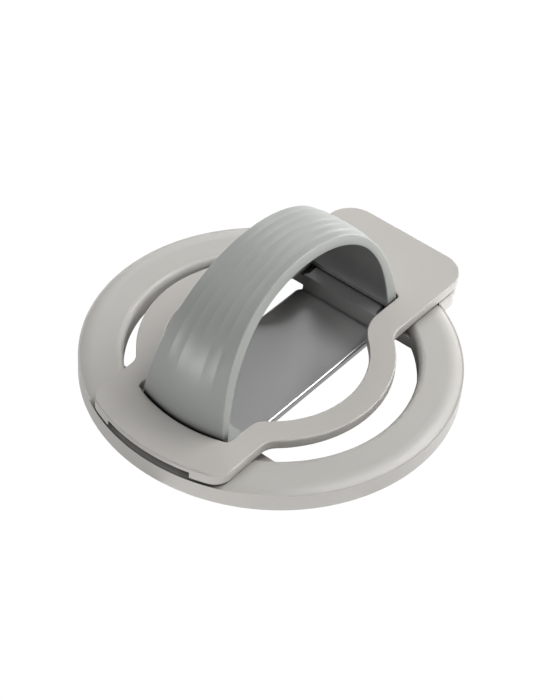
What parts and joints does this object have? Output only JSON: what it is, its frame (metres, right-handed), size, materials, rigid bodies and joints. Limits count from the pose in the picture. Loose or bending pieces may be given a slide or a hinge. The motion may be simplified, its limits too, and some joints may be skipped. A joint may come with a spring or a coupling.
{
  "type": "phone ring holder",
  "caption": "Round magnetic phone grip: a ring with a flexible finger-strap arch across it and a flat loop-shaped stand hinged at its far side.",
  "frame": {"origin": "centre of the magnet ring, on the face that lies against the phone's back", "axes": "+X across the finger strap, +Y towards the stand's hinge, +Z away from the phone"},
  "size_m": [0.057, 0.0618, 0.0255],
  "materials": {
    "ring_shell": "fine satin, warm light grey",
    "ring_top": "fine satin, warm light grey",
    "magnet": "nickel plated",
    "shield_steel": "bare steel",
    "tape": "double-sided tape",
    "grip_silicone": "matt silicone",
    "stand_metal": "fine satin, warm light grey",
    "bush_brass": "turned",
    "pin_steel": "ground",
    "plug_metal": "fine satin",
    "washer_steel": "bare steel",
    "spring_steel": "bare spring steel",
    "plate_metal": "satin, neutral grey",
    "lining": "satin spring strip, neutral dark grey",
    "strap_silicone": "matt silicone, greenish grey",
    "nut_steel": "bare steel",
    "screw_steel": "bare steel"
  },
  "bodies": {
    "base": {"base_tray": "ring_shell", "ring_cover": "ring_top", "ring_magnets": "magnet", "shield_ring": "shield_steel", "cover_adhesive": "tape", "pad_adhesive": "tape", "grip_pad": "grip_silicone", "hinge_pin": "pin_steel", "pin_plug": "plug_metal", "thrust_washers": "washer_steel", "spring_washers": "spring_steel", "centre_plate": "plate_metal", "arch_liner": "lining", "strap": "strap_silicone", "foot_nut_strip": "nut_steel", "near_screws": "screw_steel", "far_screws": "screw_steel"},
    "stand": {"stand_frame": "stand_metal", "knuckle_bush": "bush_brass"}
  },
  "joints": [
    {"name": "stand_hinge", "type": "hinge", "parent": "base", "child": "stand", "pos_m": [0, 0.0312, 0.0023], "axis": [-1, 0, 0], "range_deg": [0, 90]}
  ]
}
